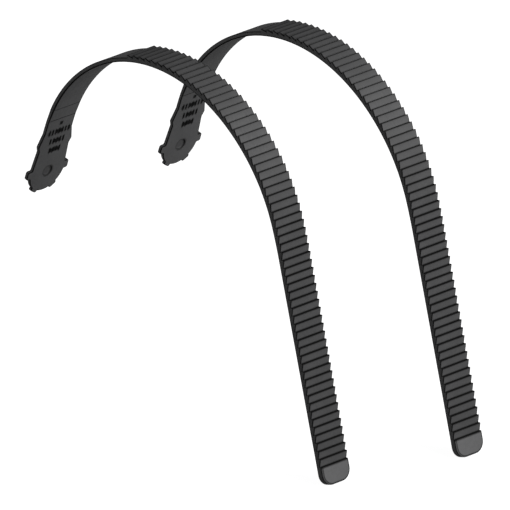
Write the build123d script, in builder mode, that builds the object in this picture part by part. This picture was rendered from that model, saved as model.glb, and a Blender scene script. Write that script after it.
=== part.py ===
"""A pair of moulded ratchet straps: bayonet head, smooth band, saw-tooth ladder and rounded tongue.

Each strap is one flexible moulding. It is cut here into short sections that meet at hinge lines, so
that it can bend. X runs across a strap, Y from its tongue towards its head, and Z is up. The origin
is the centre of the round recess in the left strap's head, on the head's inner face.

A place on a strap is given by its station, the distance from the recess centre along the bending
line towards the tongue, and by its height above the inner face of the head, outwards.
"""

from build123d import *
import os
from math import cos, radians, sin, tan

# ---- driving dimensions, mm and degrees ----
WIDTH = 23.2                # across the band and the teeth
INNER = -0.3                # height of the band's inner face
BASE = 2.5                  # height of the band's outer face and of the tooth valleys
CREST = 4.3                 # height of the tooth crests and of the tongue
AXIS = 1.1                  # height of the bending line, halfway through the base
HEAD_THICKNESS = 2.3

TEETH = 62
PITCH = 5.0                 # from one tooth to the next
TOOTH_LEAN = 0.2            # how far the steep face leans towards the tongue
CREST_FLAT = 0.35
SECTION_TEETH = 8           # teeth on a full ladder section
LADDER_SECTIONS = 7

TONGUE_LENGTH = 12.7
TONGUE_CORNER = 7.5
TONGUE_EDGE = 0.9           # rounding round the tongue's outer face

HEAD_SLOPE = -71.5          # heading of the strap at the recess, below the horizontal
HEAD_STRAIGHT = 31.4
# The rest of the bending line, as tangent stretches: length, and how far each turns downwards.
BAND_BENDS = [(10.0, 3.2), (24.8, 15.0), (34.8, 20.5), (34.7, 20.5)]
LADDER_BENDS = [(20.0, 11.4), (20.0, 11.1), (20.0, 10.9), (20.0, 10.6), (20.0, 10.1),
                (20.0, 9.8), (20.0, 10.2), (20.0, 10.0), (20.0, 3.7)]

DISC_RADIUS = 14.5          # bayonet disc of the head
LUGS = [(-1.5, 17.4), (58.0, 16.1)]     # turn from the cross line, and reach, of the lugs on one side
LUG_WIDTH = 5.9
LUG_ROUND = 1.3
NECK_TOP = 14.0             # half width of the neck at the disc
NECK_WAIST = 12.7
WAIST_AT = 17.6             # distances from the recess centre towards the tongue
SHOULDER = 14.1
SHOULDER_AT = 21.2
FLARE_END_AT = 30.5
TAPER_START = 40.6          # the two creases between the thin head and the thicker band
TAPER_END = 50.3
RECESS_RADIUS = 3.7
RECESS_DEPTH = 1.2
EDGE_ROUND = 0.5            # rounding of the band's long inner edges

HEAD_END = 52.0             # station of the first hinge line, just past the taper
CURL = 15.0                 # most that one hinge line curls the strap inwards
UNCURL = 20.0               # most that it bends the strap outwards
SPARE_ANGLE = 1.0
HINGE_CLEARANCE = 0.02      # from a section's edge to the hinge line

PAIR_SHIFT = (88.9, -26.2)  # where the right strap lies from the left one, in X and Y

SIDE_PLANE = Plane(origin=(0, 0, 0), x_dir=(0, 1, 0), z_dir=(1, 0, 0))
HEAD_PLANE = Plane(
    origin=(0, 0, 0), x_dir=(1, 0, 0), z_dir=(0, -sin(radians(HEAD_SLOPE)), cos(radians(HEAD_SLOPE)))
)

# ---- the bending line ----
BAND_END = HEAD_STRAIGHT + sum(length for length, turn in BAND_BENDS)
LADDER_END = BAND_END + TEETH * PITCH
STRAP_END = LADDER_END + TONGUE_LENGTH
STRAIGHT_REST = STRAP_END - BAND_END - sum(length for length, turn in LADDER_BENDS)


def make_stretches():
    """Each stretch of the bending line: station, length, turn, heading and point (y, z) at its start."""
    heading = radians(HEAD_SLOPE)
    y, z = -AXIS * sin(heading), AXIS * cos(heading)
    station = 0.0
    stretches = []
    for length, turn in [(HEAD_STRAIGHT, 0.0)] + BAND_BENDS + LADDER_BENDS + [(STRAIGHT_REST, 0.0)]:
        stretches.append((station, length, radians(turn), heading, y, z))
        y, z, heading = travel_on(length, length, radians(turn), heading, y, z)
        station += length
    return stretches


def travel_on(travel, length, turn, heading, y, z):
    """The point and heading after some travel along one stretch."""
    if turn == 0.0:
        return y - travel * cos(heading), z - travel * sin(heading), heading
    radius = length / turn
    end = heading + travel / radius
    return y - radius * (sin(end) - sin(heading)), z - radius * (cos(heading) - cos(end)), end


STRETCHES = make_stretches()


def stretch_at(station):
    return [stretch for stretch in STRETCHES if stretch[0] <= max(station, 0.0)][-1]


def strap_point(station, height):
    """The point (y, z) at this station and height."""
    start, length, turn, heading, y, z = stretch_at(station)
    y, z, end = travel_on(station - start, length, turn, heading, y, z)
    rise = height - AXIS
    return y - rise * sin(end), z + rise * cos(end)


def strap_points(places):
    return [strap_point(station, height) for station, height in places]


def space_point(station, height, across=0.0):
    """The same place as a point in space, this far across the strap from its middle."""
    return Vector(across, *strap_point(station, height))


# ---- lines of a side profile, drawn in the BuildLine that calls them ----
def bend_stops(first, last):
    """The ends of the tangent stretches between two stations."""
    low, high = min(first, last), max(first, last)
    knots = [stretch[0] for stretch in STRETCHES if low < stretch[0] < high]
    return sorted([low, high] + knots, reverse=first > last)


def draw_bend(first, last, height):
    """Tangent lines and arcs along the strap at one height."""
    stops = bend_stops(first, last)
    for start, end in zip(stops, stops[1:]):
        middle = (start + end) / 2
        if stretch_at(middle)[2] == 0.0:
            Line(strap_point(start, height), strap_point(end, height))
        else:
            ThreePointArc(*strap_points([(start, height), (middle, height), (end, height)]))


def hinge_corners(station, side):
    """Inner, middle and outer corner of a section's end. The section lies on this side of the hinge."""
    edge = station + side * HINGE_CLEARANCE
    inner_cut = (AXIS - INNER) * tan(radians((CURL + SPARE_ANGLE) / 2))
    outer_cut = (BASE - AXIS) * tan(radians((UNCURL + SPARE_ANGLE) / 2))
    return [(edge + side * inner_cut, INNER), (edge, AXIS), (edge + side * outer_cut, BASE)]


def tooth_corners(first_tooth, count, start_corner):
    """Corners of a run of teeth from its first valley to its last crest."""
    corners = []
    for number in range(first_tooth, first_tooth + count):
        valley = max(BAND_END + number * PITCH, start_corner)
        corners += [(valley, BASE), (valley + TOOTH_LEAN, CREST), (valley + TOOTH_LEAN + CREST_FLAT, CREST)]
    return corners


def inner_edges(solid, first, last):
    """The long edges of the inner face between two stations, on both side walls."""
    stops = bend_stops(first, last)
    return ShapeList(
        solid.edges().sort_by_distance(space_point((start + end) / 2, INNER, side * WIDTH / 2))[0]
        for start, end in zip(stops, stops[1:])
        for side in (-1, 1)
    )


# ---- the sections of one strap ----
def make_head():
    """Bayonet disc with four lugs and a blind recess, neck, flare and the taper into the band."""
    neck = [(-NECK_TOP, 0), (-NECK_WAIST, -WAIST_AT), (-SHOULDER, -SHOULDER_AT),
            (-WIDTH / 2, -FLARE_END_AT), (-WIDTH / 2, -HEAD_STRAIGHT)]
    end = hinge_corners(HEAD_END, -1)

    with BuildPart() as head:
        with BuildSketch(HEAD_PLANE):
            Circle(DISC_RADIUS)
            with BuildLine():
                Polyline(neck + [(-x, y) for x, y in reversed(neck)], close=True)
            make_face()
            for turn, reach in LUGS:
                middle = (DISC_RADIUS + reach) / 2 - LUG_WIDTH / 4
                with PolarLocations(middle, 2, turn, 180 - 2 * turn, endpoint=True):
                    RectangleRounded(2 * (reach - middle), LUG_WIDTH, LUG_ROUND)
        extrude(amount=HEAD_THICKNESS)
        with BuildSketch(HEAD_PLANE):
            Circle(RECESS_RADIUS)
        extrude(amount=RECESS_DEPTH, mode=Mode.SUBTRACT)
        with BuildSketch(SIDE_PLANE):
            with BuildLine():
                Line(strap_point(FLARE_END_AT, 0), strap_point(HEAD_STRAIGHT, 0))
                draw_bend(HEAD_STRAIGHT, TAPER_START, 0)
                Line(strap_point(TAPER_START, 0), strap_point(TAPER_END, INNER))
                draw_bend(TAPER_END, end[0][0], INNER)
                Polyline(strap_points(end))
                draw_bend(end[2][0], TAPER_END, BASE)
                Line(strap_point(TAPER_END, BASE), strap_point(TAPER_START, HEAD_THICKNESS))
                draw_bend(TAPER_START, HEAD_STRAIGHT, HEAD_THICKNESS)
                Polyline(strap_points([(HEAD_STRAIGHT, HEAD_THICKNESS), (FLARE_END_AT, HEAD_THICKNESS),
                                       (FLARE_END_AT, 0)]))
            make_face()
        extrude(amount=WIDTH / 2, both=True)
    return head


def make_band(first, last):
    """A length of smooth band between two hinge lines."""
    start, end = hinge_corners(first, 1), hinge_corners(last, -1)
    with BuildPart() as band:
        with BuildSketch(SIDE_PLANE):
            with BuildLine():
                draw_bend(start[0][0], end[0][0], INNER)
                Polyline(strap_points(end))
                draw_bend(end[2][0], start[2][0], BASE)
                Polyline(strap_points(reversed(start)))
            make_face()
        extrude(amount=WIDTH / 2, both=True)
        fillet(inner_edges(band, start[0][0], end[0][0]), EDGE_ROUND)
    return band


def make_ladder(first_tooth):
    """A length of ladder between two hinge lines, which lie in tooth valleys."""
    start = hinge_corners(BAND_END + first_tooth * PITCH, 1)
    end = hinge_corners(BAND_END + (first_tooth + SECTION_TEETH) * PITCH, -1)
    teeth = tooth_corners(first_tooth, SECTION_TEETH, start[2][0])
    with BuildPart() as ladder:
        with BuildSketch(SIDE_PLANE):
            with BuildLine():
                draw_bend(start[0][0], end[0][0], INNER)
                Polyline(strap_points(end))
                Polyline(strap_points([end[2]] + teeth[::-1]))
                Polyline(strap_points(reversed(start)))
            make_face()
        extrude(amount=WIDTH / 2, both=True)
        fillet(inner_edges(ladder, start[0][0], end[0][0]), EDGE_ROUND)
    return ladder


def make_tongue():
    """The last teeth, and the plain rounded tongue that is threaded through a buckle."""
    first_tooth = LADDER_SECTIONS * SECTION_TEETH
    start = hinge_corners(BAND_END + first_tooth * PITCH, 1)
    teeth = tooth_corners(first_tooth, TEETH - first_tooth, start[2][0])
    outside = [(STRAP_END, CREST), (LADDER_END + TOOTH_LEAN, CREST), (LADDER_END, BASE)] + teeth[::-1]
    with BuildPart() as tongue:
        with BuildSketch(SIDE_PLANE):
            with BuildLine():
                draw_bend(start[0][0], STRAP_END, INNER)
                Polyline(strap_points([(STRAP_END, INNER)] + outside))
                Polyline(strap_points(reversed(start)))
            make_face()
        extrude(amount=WIDTH / 2, both=True)
        end_corners = [
            tongue.edges().sort_by_distance(space_point(STRAP_END, BASE, side * WIDTH / 2))[0]
            for side in (-1, 1)
        ]
        fillet(end_corners, TONGUE_CORNER)
        fillet(inner_edges(tongue, start[0][0], STRAP_END), EDGE_ROUND)
        outer_face = tongue.faces().sort_by_distance(space_point(STRAP_END - TONGUE_LENGTH / 2, CREST))[0]
        outline = outer_face.edges().sort_by_distance(space_point(LADDER_END, CREST))[1:]
        fillet(outline, TONGUE_EDGE)
    return tongue


def make_sections():
    """All sections of one strap, from its head to its tongue."""
    middle_of_band = (HEAD_END + BAND_END) / 2
    sections = {
        "head": make_head(),
        "band_1": make_band(HEAD_END, middle_of_band),
        "band_2": make_band(middle_of_band, BAND_END),
    }
    for number in range(LADDER_SECTIONS):
        sections[f"ladder_{number + 1}"] = make_ladder(number * SECTION_TEETH)
    sections["tongue"] = make_tongue()
    return sections


# ---- the two straps, which are alike ----
os.makedirs("parts", exist_ok=True)
strap_sections = make_sections()
for side, place in (("left", (0, 0, 0)), ("right", (*PAIR_SHIFT, 0))):
    for name, section in strap_sections.items():
        with BuildPart() as piece:
            with Locations(place):
                add(section.part)
        piece.part.label = f"{side}_{name}"
        export_step(piece.part, f"parts/{side}_{name}.step")
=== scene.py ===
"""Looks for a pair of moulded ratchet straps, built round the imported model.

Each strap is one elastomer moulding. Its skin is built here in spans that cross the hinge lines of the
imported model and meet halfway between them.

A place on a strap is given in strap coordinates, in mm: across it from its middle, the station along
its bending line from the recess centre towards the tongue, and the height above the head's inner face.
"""
from math import asin, cos, hypot, pi, radians, sin, sqrt, tan

import bmesh
import bpy
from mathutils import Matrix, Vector
from mathutils.geometry import delaunay_2d_cdt


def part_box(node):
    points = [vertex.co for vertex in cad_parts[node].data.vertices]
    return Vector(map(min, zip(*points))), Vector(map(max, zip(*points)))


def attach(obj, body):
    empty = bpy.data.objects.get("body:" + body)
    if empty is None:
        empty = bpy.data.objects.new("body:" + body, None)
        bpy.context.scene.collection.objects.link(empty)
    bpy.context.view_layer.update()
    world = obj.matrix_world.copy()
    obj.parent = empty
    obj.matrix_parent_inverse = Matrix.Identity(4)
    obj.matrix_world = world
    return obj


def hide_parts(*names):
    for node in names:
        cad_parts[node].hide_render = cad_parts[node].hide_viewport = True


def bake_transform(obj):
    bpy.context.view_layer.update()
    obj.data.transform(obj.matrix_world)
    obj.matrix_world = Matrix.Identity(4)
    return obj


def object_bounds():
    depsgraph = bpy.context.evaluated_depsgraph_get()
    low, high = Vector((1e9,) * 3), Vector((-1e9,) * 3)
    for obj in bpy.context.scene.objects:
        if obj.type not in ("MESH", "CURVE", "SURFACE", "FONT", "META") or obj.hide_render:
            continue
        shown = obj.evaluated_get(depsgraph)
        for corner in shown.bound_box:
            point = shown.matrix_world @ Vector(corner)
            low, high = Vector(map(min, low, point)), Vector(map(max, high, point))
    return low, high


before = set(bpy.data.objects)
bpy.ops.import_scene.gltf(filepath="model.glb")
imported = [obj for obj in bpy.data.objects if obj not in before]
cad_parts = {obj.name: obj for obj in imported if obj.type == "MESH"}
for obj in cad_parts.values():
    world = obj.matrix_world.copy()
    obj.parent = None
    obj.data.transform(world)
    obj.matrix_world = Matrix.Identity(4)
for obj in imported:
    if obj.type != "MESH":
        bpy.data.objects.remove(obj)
cad_low, cad_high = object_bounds()

# ---- dimensions of the straps, mm and degrees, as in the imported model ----
MM = 0.001
WIDTH = 23.2
INNER = -0.3                # height of the band's inner face
BASE = 2.5                  # height of the band's outer face and of the tooth valleys
CREST = 4.3
AXIS = 1.1                  # height of the bending line
HEAD_THICKNESS = 2.3
TEETH = 62
PITCH = 5.0
TOOTH_LEAN = 0.2
CREST_FLAT = 0.35
SECTION_TEETH = 8
LADDER_SECTIONS = 7
TONGUE_LENGTH = 12.7
TONGUE_CORNER = 7.5
TONGUE_EDGE = 0.9
HEAD_SLOPE = -71.5
HEAD_STRAIGHT = 31.4
BAND_BENDS = [(10.0, 3.2), (24.8, 15.0), (34.8, 20.5), (34.7, 20.5)]
LADDER_BENDS = [(20.0, 11.4), (20.0, 11.1), (20.0, 10.9), (20.0, 10.6), (20.0, 10.1),
                (20.0, 9.8), (20.0, 10.2), (20.0, 10.0), (20.0, 3.7)]
DISC_RADIUS = 14.5
LUGS = [(-1.5, 17.4), (58.0, 16.1)]     # turn from the cross line, and reach, of the lugs on one side
LUG_WIDTH = 5.9
LUG_ROUND = 1.3
LUG_ROOT = 0.5
NECK_TOP = 14.0
NECK_WAIST = 12.7
WAIST_AT = 17.6
SHOULDER = 14.1
SHOULDER_AT = 21.2
FLARE_END_AT = 30.5
TAPER_START = 40.6
TAPER_END = 50.3
RECESS_RADIUS = 3.7
RECESS_DEPTH = 1.2
EDGE_ROUND = 0.5
HEAD_END = 52.0             # station of the first hinge line

# ---- finer shapes that only the looks have ----
PLATE_END = 39.0            # the head is one plate up to here, and a swept band beyond
PLATE_ROUND = 0.3
TOOTH_END_ROUND = 0.25      # rounding of the teeth along both side walls
FOOT_ROUND = 0.22
CREST_ROUND = 0.22
RAMP_ROUND = 0.5
CORNER_ROUND = 1.0          # corners of the head's outline
LINE = 0.5                  # width over which a painted shade line along an edge fades
GROOVE_SHADE_WIDTH = 0.9           # the same for the painted shade at the steep side of a tooth
TOOTH_SHADE_LINES = (1.0, 1.0, 1.0, 1.0)      # strength of the painted shade lines round the teeth's rounded ends
TONGUE_SHADE_LINES = (1.0, 0.1, 0.1, 1.0)     # and round the tongue's rounded edge
BAND_STEP = 2.0
TONGUE_START = 1.5          # the tongue is a plate from this far past the last tooth
PIP_DEPTH = 0.45
MOUTH_ROUND = 0.15
SINK_POINTS = 24
PIP_RADIUS = 0.45
PIP_LIMIT = 1.0             # a sink with a larger radius isn't a pip
SINK_PROFILE = [(0.96, 0.6), (0.85, 0.88), (0.65, 1.0)]     # shares of radius and depth, mouth to floor
PIP_SINK_SHADE, WIDE_SINK_SHADE = (1.0, 0.9), (0.6, 0.2)      # strength of the painted shade on walls and floor
PIP_MIDDLE = 0.6
PIP_ROWS = [(30.4, 18.9, 7), (23.3, 13.7, 5), (16.3, 10.8, 4)]     # station, width and count
PIP_CYCLE = 3               # every third place has two round pips, and the others have a slot
PIP_SPLIT, PIP_SLOT = 1.0, 1.1      # how far the two pips and the slot's ends lie from the row
MARK_AT, MARK_RADIUS = 36.5, 0.8
OUTLINE_STEP = 0.8
FILL_STEP = 1.2
FILL_COLUMNS = 14           # of fill points on each side of the middle
FILL_EDGE_GAP, FILL_SINK_GAP = 0.84, 0.48       # least distance of a fill point from an edge or a sink
INSIDE_ONLY, MERGE_DISTANCE = 1, 1e-5           # how the fill is triangulated
ARC_STEP = radians(4)
ROUND_STEPS, ROUND_STEPS_PER_MM = 3, 1.5
RUN_UP = 0.75               # the painted shade at a tooth's steep side grows over this length before a valley

# ---- looks ----
ELASTOMER_COLOUR = (0.05, 0.05, 0.051)
ELASTOMER_GLOSS = 0.25
PAINTED_SHADE_DARKNESS = 0.93        # how much of its colour the surface loses under a painted shade line
EDGE_DULLNESS = 0.8         # how much of its gloss it loses
EDGE_ROUGHNESS = 0.15       # what it adds to the roughness
ROUGHNESS = (0.5, 0.6)
FLOW_ROUGHNESS = 0.05       # what the flow adds or takes
DRIFT_SCALE, MOTTLE_SCALE, GRAIN_SCALE, FLOW_SCALE = 0.07, 0.6, 3.2, 0.9    # features per mm
FLOW_STRETCH = 0.08         # of its scale, along the strap
DRIFT_SHADES, MOTTLE_SHADES, GRAIN_SHADES = (0.93, 1.07), (0.95, 1.05), (0.92, 1.08)
GRAIN_RELIEF, FLOW_RELIEF, MOTTLE_RELIEF = 0.020, 0.012, 0.03      # mm
NOISE_LOW, NOISE_HIGH = 0.3, 0.7    # the range that noise mostly keeps to
SHARP_ANGLE = radians(50)
FLOOR_SIZE = 40.0           # half its width, m
FLOOR_DROP = 0.0005         # below the straps, m
FLOOR_SHADE, FLOOR_ROUGHNESS = 0.25, 0.9
FLOOR_GLOW = 0.93           # what the floor adds to its own shade for the camera alone
WORLD_LIGHT = 0.19          # even light on everything, while the camera sees white
SOFTBOX_DISTANCE, SOFTBOX_SIZE = 1.5, 0.9

BAND_END = HEAD_STRAIGHT + sum(length for length, turn in BAND_BENDS)
LADDER_END = BAND_END + TEETH * PITCH
STRAP_END = LADDER_END + TONGUE_LENGTH
STRAIGHT_REST = STRAP_END - BAND_END - sum(length for length, turn in LADDER_BENDS)
HINGES = [HEAD_END, (HEAD_END + BAND_END) / 2, BAND_END]
HINGES += [BAND_END + PITCH * SECTION_TEETH * (number + 1) for number in range(LADDER_SECTIONS)]
BODIES = ["head", "band_1", "band_2"] + [f"ladder_{n + 1}" for n in range(LADDER_SECTIONS)] + ["tongue"]


# ---- the bending line ----
def travel_on(travel, length, turn, heading, y, z):
    """The point and heading after some travel along one stretch."""
    if turn == 0.0:
        return y - travel * cos(heading), z - travel * sin(heading), heading
    radius = length / turn
    end = heading + travel / radius
    return y - radius * (sin(end) - sin(heading)), z - radius * (cos(heading) - cos(end)), end


def make_stretches():
    """Each stretch of the bending line: station, length, turn, heading and point (y, z) at its start."""
    heading = radians(HEAD_SLOPE)
    y, z = -AXIS * sin(heading), AXIS * cos(heading)
    station = 0.0
    stretches = []
    for length, turn in [(HEAD_STRAIGHT, 0.0)] + BAND_BENDS + LADDER_BENDS + [(STRAIGHT_REST, 0.0)]:
        stretches.append((station, length, radians(turn), heading, y, z))
        y, z, heading = travel_on(length, length, radians(turn), heading, y, z)
        station += length
    return stretches


STRETCHES = make_stretches()


def place(across, station, height):
    """Strap coordinates as a point of the left strap, in metres."""
    start, length, turn, heading, y, z = [s for s in STRETCHES if s[0] <= max(station, 0.0)][-1]
    y, z, end = travel_on(station - start, length, turn, heading, y, z)
    rise = height - AXIS
    return Vector((across, y - rise * sin(end), z + rise * cos(end))) * MM


# ---- lines and outlines ----
def round_corners(corners):
    """An open line through corners (a, b, radius), with each corner that has a radius turned into an arc."""
    line = [Vector(corners[0][:2])]
    for before, (a, b, radius), after in zip(corners, corners[1:], corners[2:]):
        corner = Vector((a, b))
        if radius == 0.0:
            line.append(corner)
            continue
        back = (Vector(before[:2]) - corner).normalized()
        ahead = (Vector(after[:2]) - corner).normalized()
        half = back.angle(ahead) / 2
        centre = corner + (back + ahead).normalized() * (radius / sin(half))
        first = (corner + back * (radius / tan(half)) - centre).normalized()
        last = (corner + ahead * (radius / tan(half)) - centre).normalized()
        steps = ROUND_STEPS + int(ROUND_STEPS_PER_MM * radius)
        line += [centre + first.slerp(last, step / steps) * radius for step in range(steps + 1)]
    return line + [Vector(corners[-1][:2])]


def outer_line():
    """The line of the outer face from the head's plate to the tongue's, as (station, height)."""
    corners = [(PLATE_END, HEAD_THICKNESS, 0)]
    corners += [(TAPER_START + shift, HEAD_THICKNESS, 0) for shift in (-LINE, 0.0)]
    rise = (BASE - HEAD_THICKNESS) / (TAPER_END - TAPER_START)
    corners += [(TAPER_START + LINE, HEAD_THICKNESS + rise * LINE, 0)]
    corners += [(TAPER_END - LINE, BASE - rise * LINE, 0), (TAPER_END, BASE, 0), (TAPER_END + LINE, BASE, 0)]
    steps = int((BAND_END - TAPER_END) / BAND_STEP)
    stride = (BAND_END - TAPER_END) / steps
    corners += [(TAPER_END + stride * step, BASE, 0) for step in range(1, steps)]
    slope = (CREST - BASE) / (PITCH - TOOTH_LEAN - CREST_FLAT)
    for number in range(TEETH + 1):
        valley = BAND_END + PITCH * number
        corners += [(valley - RUN_UP, BASE + (slope * RUN_UP if number else 0), 0)]
        corners += [(valley, BASE, FOOT_ROUND), (valley + TOOTH_LEAN, CREST, CREST_ROUND)]
        if number < TEETH:
            corners += [(valley + TOOTH_LEAN + CREST_FLAT, CREST, RAMP_ROUND)]
            corners += [(valley + TOOTH_LEAN + CREST_FLAT + LINE, CREST - slope * LINE, 0)]
    corners += [(LADDER_END + TONGUE_START, CREST, 0)]
    return round_corners(corners)


def fade(distance):
    """Strength of a painted shade line at this distance from the edge it follows."""
    return max(0.0, 1.0 - distance / LINE)


def groove_shade(station):
    """Strength of the painted shade at the steep side of a tooth."""
    if station < BAND_END - 2 * LINE:
        return 0.0
    nearest = BAND_END + PITCH * min(TEETH, round((station - BAND_END - TOOTH_LEAN / 2) / PITCH))
    return fade(max(nearest - station, station - nearest - TOOTH_LEAN - FOOT_ROUND, 0.0) * LINE / GROOVE_SHADE_WIDTH)


def crease_shade(station):
    """Strength of the painted shade lines across the inner face where the head thickens into the band."""
    return max(fade(abs(station - TAPER_START)), fade(abs(station - TAPER_END)))


def blend_values(low, high, share):
    share = min(max(share, 0.0), 1.0)
    return low + (high - low) * share


def section_levels(station, high):
    """Half a cross-section, from the inner face round the side wall to the outer face.

    Each level is how far in from the side wall it lies, its height and the strength of the painted shade line
    there."""
    taper = (station - TAPER_START) / (TAPER_END - TAPER_START)
    low = blend_values(0.0, INNER, taper)
    inner_round = blend_values(PLATE_ROUND, EDGE_ROUND, taper)
    outer_round = blend_values(PLATE_ROUND, TOOTH_END_ROUND, taper)
    on_tongue = station > LADDER_END - FOOT_ROUND
    if on_tongue:
        outer_round = blend_values(TOOTH_END_ROUND, TONGUE_EDGE, (high - BASE) / (CREST - BASE))
    arc = [radians(angle) for angle in (0, 30, 60, 90)]
    # painted shade lines at the creases and at the teeth's steep sides
    crease, groove = crease_shade(station), groove_shade(station)
    levels = [(inner_round + LINE, low, crease)]
    for angle in arc:
        levels.append((inner_round * (1 - sin(angle)), low + inner_round * (1 - cos(angle)), 1.0))
    levels += [(0.0, low + inner_round + LINE, 0.0), (0.0, high - outer_round - LINE, 0.0)]
    for angle, line in zip(arc, TONGUE_SHADE_LINES if on_tongue else TOOTH_SHADE_LINES):
        inset, drop = outer_round * (1 - cos(angle)), outer_round * (1 - sin(angle))
        levels.append((inset, high - drop, max(line, groove)))
    levels.append((outer_round + LINE, high, groove))
    return levels


# ---- meshes in strap coordinates ----
class Moulding:
    """Corners (across, station, height), the strength of the painted shade line at each, and faces between
    them.
    """

    def __init__(self):
        self.corners, self.lines, self.faces = [], [], []

    def corner(self, across, station, height, line):
        self.corners.append((across, station, height))
        self.lines.append(line)
        return len(self.corners) - 1

    def bridge(self, first, second, closed):
        """Quads between two rows of corners of the same length."""
        count = len(first)
        for i in range(count if closed else count - 1):
            j = (i + 1) % count
            self.faces.append((first[i], first[j], second[j], second[i]))


def add_ring(moulding, station, high):
    """One cross-section of the swept band or ladder, round from the right inner edge to the left one."""
    levels = section_levels(station, high)
    right = [moulding.corner(WIDTH / 2 - inset, station, height, line) for inset, height, line in levels]
    left = [moulding.corner(inset - WIDTH / 2, station, height, line) for inset, height, line in levels]
    return right + left[::-1]


def sweep(moulding, rings):
    """The skin along several cross-sections. It returns the first and the last ring of corners."""
    rows = [add_ring(moulding, station, high) for station, high in rings]
    for first, second in zip(rows, rows[1:]):
        moulding.bridge(first, second, closed=True)
    return rows[0], rows[-1]


def plate_outline(corners):
    """An outline with rounded corners and no step longer than OUTLINE_STEP."""
    line = round_corners(corners)
    outline = [line[0]]
    for start, end in zip(line, line[1:]):
        steps = max(1, round((end - start).length / OUTLINE_STEP))
        outline += [start.lerp(end, step / steps) for step in range(1, steps + 1)]
    return outline


def wall_columns(moulding, outline, levels, sense, ends=None):
    """The rounded side wall of a plate, as one column of corners for each point of its outline.

    The outline runs from the right side round to the left, first towards the tongue if sense is 1 and
    towards the head if it is -1. ends are the right and the left column, where a sweep has made them."""
    normals = [Vector((1, 0))]
    for before, after in zip(outline, outline[2:]):
        along = (after - before).normalized()
        normals.append(Vector((along.y, -along.x)) * sense)
    normals.append(Vector((-1, 0)))
    columns = []
    for number, (point, outward) in enumerate(zip(outline, normals)):
        if ends and number in (0, len(outline) - 1):
            columns.append(ends[0] if number == 0 else ends[1])
            continue
        columns.append([
            moulding.corner(point.x - outward.x * inset, point.y - outward.y * inset, height, line)
            for inset, height, line in levels
        ])
    for first, second in zip(columns, columns[1:]):
        moulding.bridge(first, second, closed=False)
    return columns


class Sink:
    """A moulded hollow in the head's inner face: a round hole, or a slot along the strap."""

    def __init__(self, across, station, radius, depth, half_length=0.0):
        self.across, self.station, self.radius = across, station, radius
        self.depth, self.half_length = depth, half_length

    def loop(self, radius):
        """Points at one distance round its middle line."""
        points = []
        for number in range(SINK_POINTS):
            turn = 2 * pi * (number + 0.5) / SINK_POINTS
            end = self.half_length if sin(turn) > 0 else -self.half_length
            points.append((self.across + radius * cos(turn), self.station + end + radius * sin(turn)))
        return points

    def distance(self, across, station):
        """Distance from its mouth, negative inside it."""
        beyond = max(abs(station - self.station) - self.half_length, 0.0)
        return hypot(across - self.across, beyond) - self.radius - MOUTH_ROUND

    def build(self, moulding):
        """Rounded mouth, walls and dished floor. It returns the corners of the mouth."""
        radius, depth = self.radius, self.depth
        # painted shade in the sinks: their walls and floors darken
        sink_wall_shade, sink_floor_shade = WIDE_SINK_SHADE if radius > PIP_LIMIT else PIP_SINK_SHADE
        profile = [(radius + MOUTH_ROUND, 0.0, sink_wall_shade),
                   (radius + MOUTH_ROUND / 4, MOUTH_ROUND / 4, sink_wall_shade),
                   (radius, MOUTH_ROUND, sink_wall_shade)]
        for (inward, down), line in zip(SINK_PROFILE, (sink_wall_shade, sink_floor_shade, sink_floor_shade)):
            profile.append((inward * radius, down * depth, line))
        rows = []
        for rim, drop, line in profile:
            rows.append([moulding.corner(*point, drop, line) for point in self.loop(rim)])
        for first, second in zip(rows, rows[1:]):
            moulding.bridge(first, second, closed=True)
        moulding.faces.append(tuple(rows[-1]))
        return rows[0]


def fill_flat(moulding, boundary, sinks=()):
    """A flat face inside a loop of corners, in small triangles, with the mouths of the sinks left open."""
    height = moulding.corners[boundary[0]][2]
    edge_points = [Vector(moulding.corners[number][:2]) for number in boundary]
    numbers = list(boundary)
    edges = [(i, (i + 1) % len(boundary)) for i in range(len(boundary))]
    for sink in sinks:
        mouth = sink.build(moulding)
        first = len(numbers)
        numbers += mouth
        edges += [(first + i, first + (i + 1) % len(mouth)) for i in range(len(mouth))]
    stations = [point.y for point in edge_points]
    for row in range(int((max(stations) - min(stations)) / FILL_STEP) + 1):
        for column in range(-FILL_COLUMNS, FILL_COLUMNS + 1):
            across, station = column * FILL_STEP, min(stations) + (row + 0.5) * FILL_STEP
            clear = min((point - Vector((across, station))).length for point in edge_points)
            if clear < FILL_EDGE_GAP or not holds(edge_points, across, station):
                continue
            if all(sink.distance(across, station) > FILL_SINK_GAP for sink in sinks):
                numbers.append(moulding.corner(across, station, height, 0.0))
    points = [Vector(moulding.corners[number][:2]) for number in numbers]
    found = delaunay_2d_cdt(points, edges, [], INSIDE_ONLY, MERGE_DISTANCE)
    for face in found[2]:
        middle = sum((found[0][i] for i in face), Vector((0, 0))) / len(face)
        if all(sink.distance(*middle) > 0 for sink in sinks):
            moulding.faces.append(tuple(numbers[found[3][i][0]] for i in face))


def holds(loop, across, station):
    """Whether a loop of points goes round this place."""
    inside = False
    for first, second in zip(loop, loop[1:] + loop[:1]):
        if (first.y > station) != (second.y > station):
            if across < first.x + (second.x - first.x) * (station - first.y) / (second.y - first.y):
                inside = not inside
    return inside


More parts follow.
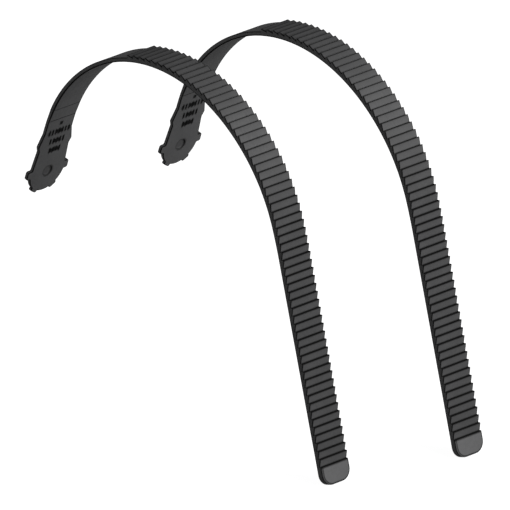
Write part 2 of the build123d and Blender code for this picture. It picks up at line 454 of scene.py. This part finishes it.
# ---- the pieces of one strap ----
def head_outline():
    """Neck, disc and lugs, from the right edge of the plate's end round to the left one."""
    slope = (NECK_WAIST - NECK_TOP) / WAIST_AT
    reach = (-NECK_TOP * slope + sqrt(DISC_RADIUS ** 2 * (1 + slope ** 2) - NECK_TOP ** 2)) / (1 + slope ** 2)
    turn = -asin(reach / DISC_RADIUS)
    corners = [(WIDTH / 2, PLATE_END, 0), (WIDTH / 2, FLARE_END_AT, CORNER_ROUND),
               (SHOULDER, SHOULDER_AT, CORNER_ROUND), (NECK_WAIST, WAIST_AT, CORNER_ROUND)]
    lug_half = asin(LUG_WIDTH / 2 / DISC_RADIUS)
    for middle, lug_reach in [(radians(angle), length) for angle, length in LUGS]:
        stop = middle - lug_half
        corners += disc_arc(turn, stop)
        root = DISC_RADIUS * cos(lug_half)
        for side, radius, rounding in ((-1, root, LUG_ROOT), (-1, lug_reach, LUG_ROUND),
                                       (1, lug_reach, LUG_ROUND), (1, root, LUG_ROOT)):
            offset = side * LUG_WIDTH / 2
            corners.append((radius * cos(middle) - offset * sin(middle),
                            -radius * sin(middle) - offset * cos(middle), rounding))
        turn = middle + lug_half
    corners += disc_arc(turn, pi / 2)
    left = [(-across, station, radius) for across, station, radius in reversed(corners)]
    return plate_outline(corners + left)


def disc_arc(first, last):
    """Points of the disc's edge between two angles, without its ends."""
    steps = int((last - first) / ARC_STEP) + 1
    return [
        (DISC_RADIUS * cos(first + (last - first) * step / steps),
         -DISC_RADIUS * sin(first + (last - first) * step / steps), 0)
        for step in range(1, steps)
    ]


def head_sinks():
    """The round recess, and rows of plain pips where the moulding carries its marks."""
    sinks = [Sink(0.0, 0.0, RECESS_RADIUS, RECESS_DEPTH), Sink(PIP_MIDDLE, MARK_AT, MARK_RADIUS, PIP_DEPTH)]
    for station, width, count in PIP_ROWS:
        for number in range(count):
            across = PIP_MIDDLE + width * ((number + 0.5) / count - 0.5)
            if (number + 1) % PIP_CYCLE == 0:
                sinks += [Sink(across, station + shift, PIP_RADIUS, PIP_DEPTH)
                          for shift in (-PIP_SPLIT, PIP_SPLIT)]
            else:
                sinks.append(Sink(across, station, PIP_RADIUS, PIP_DEPTH, half_length=PIP_SLOT))
    return sinks


def make_head():
    """The plate with its disc, lugs, recess and pips."""
    moulding = Moulding()
    columns = wall_columns(moulding, head_outline(), section_levels(PLATE_END, HEAD_THICKNESS), -1)
    fill_flat(moulding, [column[0] for column in columns], head_sinks())
    fill_flat(moulding, [column[-1] for column in columns])
    moulding.faces.append(tuple(columns[0] + columns[-1][::-1]))
    return moulding


def make_span(rings):
    """A length of band or ladder."""
    moulding = Moulding()
    for end in sweep(moulding, rings):
        moulding.faces.append(tuple(end))
    return moulding


def make_tongue(rings):
    """The last teeth and the rounded tongue."""
    moulding = Moulding()
    first, last = sweep(moulding, rings)
    moulding.faces.append(tuple(first))
    start = rings[-1][0]
    outline = plate_outline([(WIDTH / 2, start, 0), (WIDTH / 2, STRAP_END, TONGUE_CORNER),
                             (-WIDTH / 2, STRAP_END, TONGUE_CORNER), (-WIDTH / 2, start, 0)])
    half = len(last) // 2
    ends = (last[:half], last[half:][::-1])
    columns = wall_columns(moulding, outline, section_levels(STRAP_END, CREST), 1, ends)
    fill_flat(moulding, [column[0] for column in columns])
    fill_flat(moulding, [column[-1] for column in columns])
    return moulding


# ---- material ----
def make_elastomer():
    """Dark moulded elastomer: spark-eroded grain, flow along the strap, and painted shade in dark lines along
    its edges, creases, tooth valleys and sinks.
    """
    material = bpy.data.materials.new("moulded_elastomer")
    material.use_nodes = True
    nodes, links = material.node_tree.nodes, material.node_tree.links
    shader = nodes["Principled BSDF"]

    def node(kind, **inputs):
        made = nodes.new(kind)
        for name, value in inputs.items():
            made.inputs[name.replace("_", " ")].default_value = value
        return made

    def attribute(name, output):
        made = nodes.new("ShaderNodeAttribute")
        made.attribute_name = name
        return made.outputs[output]

    def noise(scale, detail, stretch=(1, 1, 1)):
        """Noise over strap coordinates, with this many features per mm."""
        mapping = nodes.new("ShaderNodeMapping")
        mapping.inputs["Scale"].default_value = stretch
        links.new(strap_place, mapping.inputs["Vector"])
        made = node("ShaderNodeTexNoise", Scale=scale, Detail=detail)
        links.new(mapping.outputs["Vector"], made.inputs["Vector"])
        return made.outputs["Fac"]

    def maths(operation, first, second):
        made = nodes.new("ShaderNodeMath")
        made.operation = operation
        for socket, value in zip(made.inputs, (first, second)):
            if isinstance(value, float):
                socket.default_value = value
            else:
                links.new(value, socket)
        return made.outputs["Value"]

    def spread(value, low, high):
        made = node("ShaderNodeMapRange", To_Min=low, To_Max=high)
        made.inputs["From Min"].default_value = NOISE_LOW
        made.inputs["From Max"].default_value = NOISE_HIGH
        links.new(value, made.inputs["Value"])
        return made.outputs["Result"]

    strap_place = attribute("strap_place", "Vector")
    # painted shade: the strength of the dark lines painted along edges, creases, tooth valleys and in the
    # sinks
    line = attribute("painted_edge_shade", "Fac")
    drift = noise(DRIFT_SCALE, 2.0)
    mottle = noise(MOTTLE_SCALE, 3.0)
    grain = noise(GRAIN_SCALE, 4.0)
    flow = noise(FLOW_SCALE, 2.0, (1.0, FLOW_STRETCH, 1.0))

    shade = maths("MULTIPLY", spread(drift, *DRIFT_SHADES), spread(mottle, *MOTTLE_SHADES))
    shade = maths("MULTIPLY", shade, spread(grain, *GRAIN_SHADES))
    # painted shade: the colour darkens along the painted shade lines
    shade = maths("MULTIPLY", shade, maths("SUBTRACT", 1.0, maths("MULTIPLY", line, PAINTED_SHADE_DARKNESS)))
    tint = nodes.new("ShaderNodeVectorMath")
    tint.operation = "SCALE"
    tint.inputs[0].default_value = ELASTOMER_COLOUR
    links.new(shade, tint.inputs["Scale"])
    links.new(tint.outputs["Vector"], shader.inputs["Base Color"])

    rough = maths("ADD", spread(mottle, *ROUGHNESS), spread(flow, -FLOW_ROUGHNESS, FLOW_ROUGHNESS))
    links.new(maths("ADD", rough, maths("MULTIPLY", line, EDGE_ROUGHNESS)), shader.inputs["Roughness"])
    gloss = maths("MULTIPLY", maths("SUBTRACT", 1.0, maths("MULTIPLY", line, EDGE_DULLNESS)), ELASTOMER_GLOSS)
    links.new(gloss, shader.inputs["Specular IOR Level"])

    relief = maths("ADD", maths("MULTIPLY", grain, GRAIN_RELIEF), maths("MULTIPLY", flow, FLOW_RELIEF))
    relief = maths("ADD", relief, maths("MULTIPLY", mottle, MOTTLE_RELIEF))
    bump = node("ShaderNodeBump", Strength=1.0, Distance=MM)
    links.new(relief, bump.inputs["Height"])
    links.new(bump.outputs["Normal"], shader.inputs["Normal"])
    return material


ELASTOMER = make_elastomer()


# ---- from mouldings to pieces ----
def make_piece(name, moulding, shift):
    """A Blender object with the moulding's skin, moved to its strap."""
    mesh = bpy.data.meshes.new(name)
    points = [place(*corner) + shift for corner in moulding.corners]
    mesh.from_pydata(points, [], moulding.faces)
    flat_places = [value for corner in moulding.corners for value in corner]
    mesh.attributes.new("strap_place", "FLOAT_VECTOR", "POINT").data.foreach_set("vector", flat_places)
    # the strength of the painted shade lines, read by the material
    mesh.attributes.new("painted_edge_shade", "FLOAT", "POINT").data.foreach_set("value", moulding.lines)
    skin = bmesh.new()
    skin.from_mesh(mesh)
    loose = [corner for corner in skin.verts if not corner.link_faces]
    bmesh.ops.delete(skin, geom=loose, context="VERTS")
    bmesh.ops.recalc_face_normals(skin, faces=skin.faces)
    skin.to_mesh(mesh)
    skin.free()
    mesh.polygons.foreach_set("use_smooth", [True] * len(mesh.polygons))
    mesh.set_sharp_from_angle(angle=SHARP_ANGLE)
    mesh.materials.append(ELASTOMER)
    piece = bpy.data.objects.new(name, mesh)
    bpy.context.scene.collection.objects.link(piece)
    weighted = piece.modifiers.new("flat faces stay flat", "WEIGHTED_NORMAL")
    weighted.keep_sharp = True
    return piece


def rings_between(rings, first, last):
    """The rings from the one nearest to one station to the one nearest to another."""
    def nearest(station):
        return min(range(len(rings)), key=lambda number: abs(rings[number][0] - station))
    return rings[nearest(first):nearest(last) + 1]


def make_strap(side):
    """All pieces of one strap. Each span crosses one hinge line."""
    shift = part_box(f"{side}_head")[0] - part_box("left_head")[0]
    head = make_piece(f"{side}_head_plate", make_head(), shift)
    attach(head, f"{side}_head")
    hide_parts(f"{side}_head")
    rings = [tuple(point) for point in outer_line()]
    middles = [(first + second) / 2 for first, second in zip(HINGES, HINGES[1:])]
    cuts = [PLATE_END] + middles + [STRAP_END]
    for number, hinge in enumerate(HINGES):
        start, end = cuts[number], cuts[number + 1]
        span_rings = rings_between(rings, start, end)
        last = number == len(HINGES) - 1
        moulding = make_tongue(span_rings) if last else make_span(span_rings)
        name = f"{side}_tongue_span" if last else f"{side}_strap_span_{number + 1}"
        piece = make_piece(name, moulding, shift)
        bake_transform(piece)
        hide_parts(f"{side}_{BODIES[number + 1]}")


for side in ("left", "right"):
    make_strap(side)


# ---- floor, light and camera ----
def camera_strength(nodes, links, elsewhere, to_camera):
    """A strength that is one value for rays from the camera and another for all light."""
    path = nodes.new("ShaderNodeLightPath")
    strength = nodes.new("ShaderNodeMapRange")
    strength.inputs["To Min"].default_value, strength.inputs["To Max"].default_value = elsewhere, to_camera
    links.new(path.outputs["Is Camera Ray"], strength.inputs["Value"])
    return strength.outputs["Result"]


def make_floor():
    """White paper that looks brighter to the camera than the light it gives back."""
    material = bpy.data.materials.new("floor_paper")
    material.use_nodes = True
    nodes, links = material.node_tree.nodes, material.node_tree.links
    shader = nodes["Principled BSDF"]
    shader.inputs["Base Color"].default_value = (FLOOR_SHADE, FLOOR_SHADE, FLOOR_SHADE, 1)
    shader.inputs["Roughness"].default_value = FLOOR_ROUGHNESS
    shader.inputs["Specular IOR Level"].default_value = 0.0
    shader.inputs["Emission Color"].default_value = (1, 1, 1, 1)
    links.new(camera_strength(nodes, links, 0.0, FLOOR_GLOW), shader.inputs["Emission Strength"])
    mesh = bpy.data.meshes.new("floor")
    corners = [(-FLOOR_SIZE, -FLOOR_SIZE), (FLOOR_SIZE, -FLOOR_SIZE),
               (FLOOR_SIZE, FLOOR_SIZE), (-FLOOR_SIZE, FLOOR_SIZE)]
    mesh.from_pydata([(x, y, cad_low.z - FLOOR_DROP) for x, y in corners], [], [(0, 1, 2, 3)])
    mesh.materials.append(material)
    floor = bpy.data.objects.new("floor", mesh)
    bpy.context.scene.collection.objects.link(floor)


def make_world():
    """White to the camera, and a dim even light on everything else."""
    world = bpy.data.worlds.new("studio")
    world.use_nodes = True
    nodes, links = world.node_tree.nodes, world.node_tree.links
    background = nodes["Background"]
    background.inputs["Color"].default_value = (1, 1, 1, 1)
    links.new(camera_strength(nodes, links, WORLD_LIGHT, 1.0), background.inputs["Strength"])
    bpy.context.scene.world = world


def make_softbox(name, direction, power):
    """A square area light that points at the middle of the straps."""
    light = bpy.data.lights.new(name, "AREA")
    light.size, light.energy = SOFTBOX_SIZE, power
    lamp = bpy.data.objects.new(name, light)
    lamp.location = middle + Vector(direction).normalized() * SOFTBOX_DISTANCE
    lamp.rotation_euler = Vector(direction).to_track_quat("Z", "Y").to_euler()
    bpy.context.scene.collection.objects.link(lamp)


middle = (cad_low + cad_high) / 2
make_floor()
make_world()
make_softbox("key_softbox", direction=(0.25, -0.88, 0.42), power=40)
make_softbox("back_softbox", direction=(-0.25, 0.93, 0.15), power=15)

AZIMUTH, ELEVATION = radians(-45), radians(21.63)
LENS, SENSOR = 1500, 36
FRAME_WIDTH = 0.31119       # what the picture is wide at the straps
AIM_RIGHT, AIM_UP, AIM_BACK = 0.12695, -0.05167, 0.045      # from the frame's origin, along the picture
back = Vector((sin(AZIMUTH) * cos(ELEVATION), -cos(AZIMUTH) * cos(ELEVATION), sin(ELEVATION)))
right = Vector((cos(AZIMUTH), sin(AZIMUTH), 0))
up = back.cross(right)
aim = right * AIM_RIGHT + up * AIM_UP + back * AIM_BACK
camera_data = bpy.data.cameras.new("camera")
camera_data.lens, camera_data.sensor_width = LENS, SENSOR
camera_data.clip_end = 100
camera = bpy.data.objects.new("camera", camera_data)
camera.location = aim + back * (FRAME_WIDTH * LENS / SENSOR)
camera.rotation_euler = back.to_track_quat("Z", "Y").to_euler()
bpy.context.scene.collection.objects.link(camera)
bpy.context.scene.camera = camera
bpy.context.scene.view_settings.view_transform = "Standard"
